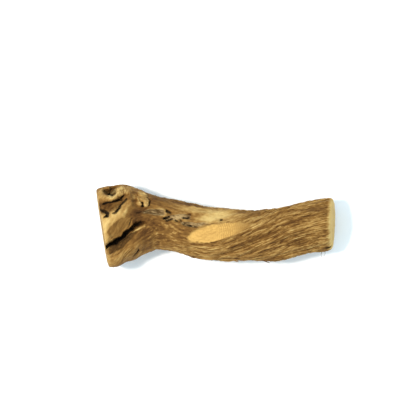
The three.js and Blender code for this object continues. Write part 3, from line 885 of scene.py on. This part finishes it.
def tubes(name, paths, radii, masks, fibre, along):
    """Thin tubes along paths, an array of paths by points by xyz, with a radius at each point."""
    count, steps = paths.shape[:2]
    heading = np.gradient(paths, axis=1)
    side = np.cross(heading, (0.0, 0.0, 1.0))
    side /= np.linalg.norm(side, axis=2, keepdims=True)
    over = np.cross(side, heading)
    over /= np.linalg.norm(over, axis=2, keepdims=True)
    turn = 2 * math.pi * np.arange(TUBE_SIDES) / TUBE_SIDES
    spokes = side[:, :, None] * np.cos(turn)[:, None] + over[:, :, None] * np.sin(turn)[:, None]
    points = (paths[:, :, None] + spokes * radii[:, :, None, None]).reshape(-1, 3)
    faces = []
    for k in range(count):
        first = k * steps * TUBE_SIDES
        faces += [tuple(first + v for v in face) for face in grid_faces(steps, TUBE_SIDES)]
        last = first + (steps - 1) * TUBE_SIDES
        faces.append(tuple(range(first, first + TUBE_SIDES))[::-1])
        faces.append(tuple(range(last, last + TUBE_SIDES)))
    made = new_object(name, points, faces)
    add_vector(made, "place", points)
    grain = grain_place(fibre, along, 1, 1)
    add_vector(made, "grain", np.repeat(grain, TUBE_SIDES, axis=0))
    for mask, values in masks.items():
        add_mask(made, mask, np.repeat(values, TUBE_SIDES))
    return made


def loose_fibres():
    """Fibres that lie along the limb's grain, half sunk in it, and lift off at one tip."""
    rng = np.random.default_rng(FIBRE_SEED)
    step = np.linspace(0, 1, FIBRE_STEPS)
    start = rng.uniform(*FIBRE_START, FIBRE_COUNT)[:, None]
    run = rng.uniform(*FIBRE_RUN, FIBRE_COUNT)[:, None]
    t = np.minimum(start + run * step, 1 - LIMB_WEAR).ravel()
    first_x = section_at(start.ravel())[0][:, 0]
    fibre = rng.uniform(0, 2 * math.pi, FIBRE_COUNT) + twist_at(first_x)
    fibre = np.repeat(fibre, FIBRE_STEPS)
    centre = section_at(t)[0]
    point, _, masks = surface(t, fibre - twist_at(centre[:, 0]), np.zeros_like(t))
    outward = point - centre
    outward /= np.linalg.norm(outward, axis=1, keepdims=True)
    lift = (rng.uniform(*FIBRE_LIFT, FIBRE_COUNT)[:, None] * step ** FIBRE_CURL).ravel()
    paths = (point + outward * lift[:, None]).reshape(FIBRE_COUNT, FIBRE_STEPS, 3)
    thickness = FIBRE_TIP + np.sin(math.pi * step) ** FIBRE_BELLY
    radii = rng.uniform(*FIBRE_RADIUS, FIBRE_COUNT)[:, None] * thickness
    tone = np.repeat(rng.uniform(*FIBRE_TONE, FIBRE_COUNT), FIBRE_STEPS)
    kept = masks["fibrous"].reshape(FIBRE_COUNT, FIBRE_STEPS).min(axis=1) > FIBRE_LEAST
    each = np.repeat(kept, FIBRE_STEPS)
    tones = {"tone": tone[each]}
    return tubes("driftwood_fibres", paths[kept], radii[kept], tones, fibre[each], centre[each, 0])


def stray_hairs():
    """The hairs and the splinter that stand off the limb's lower edge."""
    step = np.linspace(0, 1, HAIR_STEPS)[:, None]
    paths, radii = [], []
    for (a, b, c), radius in HAIRS:
        a, b, c = (np.array(p) for p in (a, b, c))
        paths.append((1 - step) ** 2 * a + 2 * step * (1 - step) * b + step ** 2 * c)
        radii.append(radius * (1 - HAIR_TAPER * step[:, 0]))
    paths = np.array(paths)
    along = paths[:, :, 0].ravel()
    tone = np.full(len(along), HAIR_TONE)
    return tubes("driftwood_hairs", paths, np.array(radii), {"tone": tone}, along * 0, along)


# Materials

# Colours from the darkest to the palest wood, spread evenly over lightness 0 to 1.
WOOD_SCALE = (
    (0.024, 0.0088, 0.002, 1),
    (0.092, 0.0365, 0.0068, 1),
    (0.208, 0.098, 0.0208, 1),
    (0.382, 0.220, 0.065, 1),
    (0.572, 0.384, 0.138, 1),
)
SCAR_COLOUR = (0.62, 0.36, 0.099, 1)
SCAR_GRAIN = (0.40, 0.215, 0.055, 1)
POROUS_DARK = (0.085, 0.049, 0.017, 1)
POROUS_PALE = (0.45, 0.305, 0.14, 1)
# Painted shade: the near black that the deepest cracks, holes and grooves are painted with.
SHADE_COLOUR = (0.012, 0.006, 0.002, 1)

# Noise that is drawn out along the grain: width, length and detail of each.
GRAIN = {
    "fine": (0.55, 6, 3.0),
    "short": (0.5, 2.6, 2.0),
    "middle": (1.4, 14, 2.0),
    "patches": (6.0, 26, 2.0),
    "specks": (0.9, 3.2, 2.0),
    "flecks": (1.9, 4.6, 2.0),
    "mottle": (1.8, 3.4, 3.0),
}
MASKS = ("bare", "painted_shade", "porous", "flake", "fibrous", "strand", "tone", "rim", "scuffed", "end")

# Changes of lightness: by which noise or mask, from and to which value of it, and how much at each.
STREAKS = (
    ("strand", 0.1, 0.42, -0.36, 0.0),
    ("strand", 0.4, 0.75, 0.0, 0.22),
    ("middle", 0.25, 0.75, -0.16, 0.16),
    ("fine", 0.3, 0.7, -0.14, 0.14),
    ("short", 0.35, 0.65, -0.08, 0.08),
)
STREAK_SHARES = (0.22, 0.95)  # how much of the streaks shows on smooth and on fibrous wood
END_STREAK_SHARE = 0.3  # and on the sawn faces
BLOTCHES = (("patches", 0.3, 0.7, -0.09, 0.09), ("mottle", 0.3, 0.7, -0.08, 0.08))
SCUFFS = (("flecks", 0.5, 0.68, -0.04, 0.24),)
RIM_TONE = 0.64
BARK_TONE = 0.34

# Growth rings on the sawn faces: radians to the millimetre, how far the grain wavers them, and their
# lightness. Drying checks: how close the rays are, which of them split and how dark, and between
# which distances from the heart they open.
RING_PITCH = 4.2
RING_WAVER = 5.0
RING_TONE = 0.05
CHECK_RAYS = 7.0
CHECK_DETAIL = 3.0
CHECK_SPLITS = (0.65, 0.68, 0.0, 0.5)
CHECK_RADII = (3.0, 16.0)

# Growth arcs on the scar: their centre, radians to the millimetre and waver, and how strongly they
# show, by their distance from the centre. Then the scar's own blotches, as for lightness.
ARC_CENTRE = (-14.0, -6.0, 44.0)
ARC_PITCH = 3.6
ARC_WAVER = 7.0
ARCS_START = (15.0, 20.0, 0.1, 0.7)
ARCS_END = (25.0, 31.0, 1.0, 0.4)
SCAR_BLOTCHES = (
    ("short", 0.35, 0.65, 0.0, 0.3),
    ("mottle", 0.4, 0.65, 0.0, 0.4),
    ("patches", 0.35, 0.65, 0.0, 0.2),
)

# Pores: how much the wood's tone lights them, between which values they turn pale, and how much of
# the wood's colour they take the place of.
PORE_TONE_SHARE = 0.7
PORE_LIGHT = (0.6, 1.1)
PORE_SHARE = 0.8

# The surface: roughness, shine, and the finest grain as a bump.
ROUGHNESS = 0.85
SPECULAR = 0.15
BUMP_SHARES = {"fine": 0.6, "short": 0.4}
BUMP_ON_SCAR = 0.35
BUMP_STRENGTH = 0.8
BUMP_HEIGHT = 0.8


class NodeKit:
    """Builds a material from short calls. A value that is a socket is linked."""

    def __init__(self, name):
        self.material = bpy.data.materials.new(name)
        self.material.use_nodes = True
        self.tree = self.material.node_tree
        self.shader = self.tree.nodes["Principled BSDF"]

    def put(self, socket, value):
        if isinstance(value, bpy.types.NodeSocket):
            self.tree.links.new(value, socket)
        else:
            socket.default_value = value

    def add(self, kind, inputs, output=0, **settings):
        made = self.tree.nodes.new(kind)
        for name, value in settings.items():
            setattr(made, name, value)
        for key, value in inputs.items():
            self.put(made.inputs[key], value)
        return made.outputs[output]

    def mask(self, name):
        return self.add("ShaderNodeAttribute", {}, "Fac", attribute_name=name)

    def place(self, name):
        return self.add("ShaderNodeAttribute", {}, "Vector", attribute_name=name)

    def math(self, operation, a, b):
        return self.add("ShaderNodeMath", {0: a, 1: b}, operation=operation)

    def stretched_noise(self, place, width, length, detail):
        size = (1 / width, 1 / width, 1 / length)
        scaled = self.add("ShaderNodeVectorMath", {0: place, 1: size}, operation="MULTIPLY")
        return self.add("ShaderNodeTexNoise", {"Vector": scaled, "Scale": 1.0, "Detail": detail}, "Fac")

    def ramp(self, value, low, high, to_low=0.0, to_high=1.0):
        ends = {"Value": value, "From Min": low, "From Max": high, "To Min": to_low, "To Max": to_high}
        return self.add("ShaderNodeMapRange", ends, interpolation_type="SMOOTHSTEP")

    def colour_scale(self, value, colours):
        made = self.tree.nodes.new("ShaderNodeValToRGB")
        stops = made.color_ramp.elements
        stops[-1].position = 1.0
        for k in range(1, len(colours) - 1):
            stops.new(k / (len(colours) - 1))
        for stop, colour in zip(stops, colours):
            stop.color = colour
        self.put(made.inputs["Fac"], value)
        return made.outputs["Color"]

    def add_ramps(self, value, source, rows):
        """A value with ramps of noises or masks added to it."""
        for name, *ends in rows:
            value = self.math("ADD", value, self.ramp(source[name], *ends))
        return value

    def mix(self, share, a, b):
        return self.add("ShaderNodeMix", {0: share, 6: a, 7: b}, 2, data_type="RGBA")


def lightness(kit, source):
    """Streaks along the fibres, broad patches, pale worn places and scuffs."""
    streaks = kit.add_ramps(0.0, source, STREAKS)
    streaks = kit.math("MULTIPLY", streaks, kit.ramp(source["fibrous"], 0.0, 1.0, *STREAK_SHARES))
    streaks = kit.math("MULTIPLY", streaks, kit.ramp(source["end"], 0.0, 1.0, 1.0, END_STREAK_SHARE))
    tone = kit.add_ramps(kit.math("ADD", source["tone"], streaks), source, BLOTCHES)
    for name, amount in (("rim", RIM_TONE), ("flake", BARK_TONE)):
        tone = kit.math("ADD", tone, kit.math("MULTIPLY", source[name], amount))
    scuffs = kit.math("MULTIPLY", kit.add_ramps(0.0, source, SCUFFS), source["scuffed"])
    return kit.math("ADD", tone, scuffs)


def end_grain(kit, source, grain):
    """Growth rings and drying checks on the sawn faces, as a change of lightness."""
    across = kit.add("ShaderNodeVectorMath", {0: grain, 1: (1, 1, 0)}, operation="MULTIPLY")
    from_heart = kit.add("ShaderNodeVectorMath", {0: across}, "Value", operation="LENGTH")
    turns = kit.math("MULTIPLY", from_heart, RING_PITCH)
    turns = kit.math("ADD", turns, kit.math("MULTIPLY", source["middle"], RING_WAVER))
    rings = kit.math("MULTIPLY", kit.math("SINE", turns, 0.0), RING_TONE)
    bearing = kit.add("ShaderNodeVectorMath", {0: across}, operation="NORMALIZE")
    spread = {"Vector": bearing, "Scale": CHECK_RAYS, "Detail": CHECK_DETAIL}
    rays = kit.add("ShaderNodeTexNoise", spread, "Fac")
    checks = kit.math("MULTIPLY", kit.ramp(rays, *CHECK_SPLITS), kit.ramp(from_heart, *CHECK_RADII))
    return kit.math("MULTIPLY", kit.math("SUBTRACT", rings, checks), source["end"])


def pore_colour(kit, source):
    lit = kit.math("ADD", source["specks"], kit.math("MULTIPLY", source["tone"], PORE_TONE_SHARE))
    return kit.mix(kit.ramp(lit, *PORE_LIGHT), POROUS_DARK, POROUS_PALE)


def scar_colour(kit, source, place):
    """Pale bare wood with growth arcs across it."""
    ends = {0: place, 1: ARC_CENTRE}
    away = kit.add("ShaderNodeVectorMath", ends, "Value", operation="DISTANCE")
    turns = kit.math("MULTIPLY", away, ARC_PITCH)
    turns = kit.math("ADD", turns, kit.math("MULTIPLY", source["mottle"], ARC_WAVER))
    arcs = kit.ramp(kit.math("SINE", turns, 0.0), 0.0, 1.0)
    arcs = kit.math("MULTIPLY", arcs, kit.ramp(away, *ARCS_START))
    arcs = kit.math("MULTIPLY", arcs, kit.ramp(away, *ARCS_END))
    return kit.mix(kit.add_ramps(arcs, source, SCAR_BLOTCHES), SCAR_COLOUR, SCAR_GRAIN)


def grain_bump(kit, source):
    height = 0.0
    for name, share in BUMP_SHARES.items():
        height = kit.math("ADD", height, kit.math("MULTIPLY", source[name], share))
    height = kit.math("MULTIPLY", height, kit.ramp(source["bare"], 0.0, 1.0, 1.0, BUMP_ON_SCAR))
    height = kit.math("ADD", height, kit.math("MULTIPLY", source["specks"], source["porous"]))
    relief = {"Height": height, "Strength": BUMP_STRENGTH, "Distance": BUMP_HEIGHT * MM}
    return kit.add("ShaderNodeBump", relief)


def weathered_wood():
    kit = NodeKit("weathered_wood")
    grain = kit.place("grain")
    source = {name: kit.stretched_noise(grain, *size) for name, size in GRAIN.items()}
    source |= {name: kit.mask(name) for name in MASKS}
    tone = kit.math("ADD", lightness(kit, source), end_grain(kit, source, grain))
    colour = kit.colour_scale(tone, WOOD_SCALE)
    pores = kit.math("MULTIPLY", source["porous"], PORE_SHARE)
    colour = kit.mix(pores, colour, pore_colour(kit, source))
    colour = kit.mix(source["bare"], colour, scar_colour(kit, source, kit.place("place")))
    # Painted shade in the cracks, holes and grooves.
    colour = kit.mix(source["painted_shade"], colour, SHADE_COLOUR)
    kit.put(kit.shader.inputs["Base Color"], colour)
    kit.put(kit.shader.inputs["Roughness"], ROUGHNESS)
    kit.put(kit.shader.inputs["Specular IOR Level"], SPECULAR)
    kit.put(kit.shader.inputs["Normal"], grain_bump(kit, source))
    return kit.material


wood = weathered_wood()
driftwood = body()
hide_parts(NODE)
for piece in (driftwood, loose_fibres(), stray_hairs()):
    piece.data.materials.append(wood)
    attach(piece, "root")


# Stage

FLOOR_SIZE = 4.0
FLOOR_COLOUR = (0.95, 0.95, 0.95, 1)
FLOOR_ROUGHNESS = 0.9
half = FLOOR_SIZE / 2
corners = [(-half, -half, 0), (half, -half, 0), (half, half, 0), (-half, half, 0)]
floor_mesh = bpy.data.meshes.new("floor")
floor_mesh.from_pydata(corners, [], [(0, 1, 2, 3)])
floor = bpy.data.objects.new("floor", floor_mesh)
bpy.context.scene.collection.objects.link(floor)
floor_kit = NodeKit("pale_floor")
floor_kit.put(floor_kit.shader.inputs["Base Color"], FLOOR_COLOUR)
floor_kit.put(floor_kit.shader.inputs["Roughness"], FLOOR_ROUGHNESS)
floor_mesh.materials.append(floor_kit.material)

CAMERA_ELEVATION = math.radians(88)
CAMERA_DISTANCE = 2.0
FRAME_WIDTH = 0.344  # width of the photograph's frame at the object
AIM = Vector((-6.7, 15.4, 25)) * MM
camera_data = bpy.data.cameras.new("camera")
camera_data.lens = camera_data.sensor_width * CAMERA_DISTANCE / FRAME_WIDTH
camera = bpy.data.objects.new("camera", camera_data)
bpy.context.scene.collection.objects.link(camera)
back_off = Vector((0, -math.cos(CAMERA_ELEVATION), math.sin(CAMERA_ELEVATION)))
camera.location = AIM + back_off * CAMERA_DISTANCE
camera.rotation_mode = "QUATERNION"
camera.rotation_quaternion = (-back_off).to_track_quat("-Z", "Y")
bpy.context.scene.camera = camera

KEY_SIZE = 0.14
KEY_POWER = 12
KEY_COLOUR = (1.0, 0.92, 0.82)
KEY_PLACE = Vector((-0.5, 0.03, 1.1))
FILL_COLOUR = (0.76, 0.91, 1.0, 1)
FILL_STRENGTH = 1.22
key_data = bpy.data.lights.new("key", "AREA")
key_data.size = KEY_SIZE
key_data.energy = KEY_POWER
key_data.color = KEY_COLOUR
key = bpy.data.objects.new("key", key_data)
key.location = KEY_PLACE
key.rotation_mode = "QUATERNION"
key.rotation_quaternion = (-KEY_PLACE).to_track_quat("-Z", "Y")
bpy.context.scene.collection.objects.link(key)
world = bpy.data.worlds.new("world")
world.use_nodes = True
background = world.node_tree.nodes["Background"]
background.inputs["Color"].default_value = FILL_COLOUR
background.inputs["Strength"].default_value = FILL_STRENGTH
bpy.context.scene.world = world
bpy.context.scene.view_settings.view_transform = "Standard"
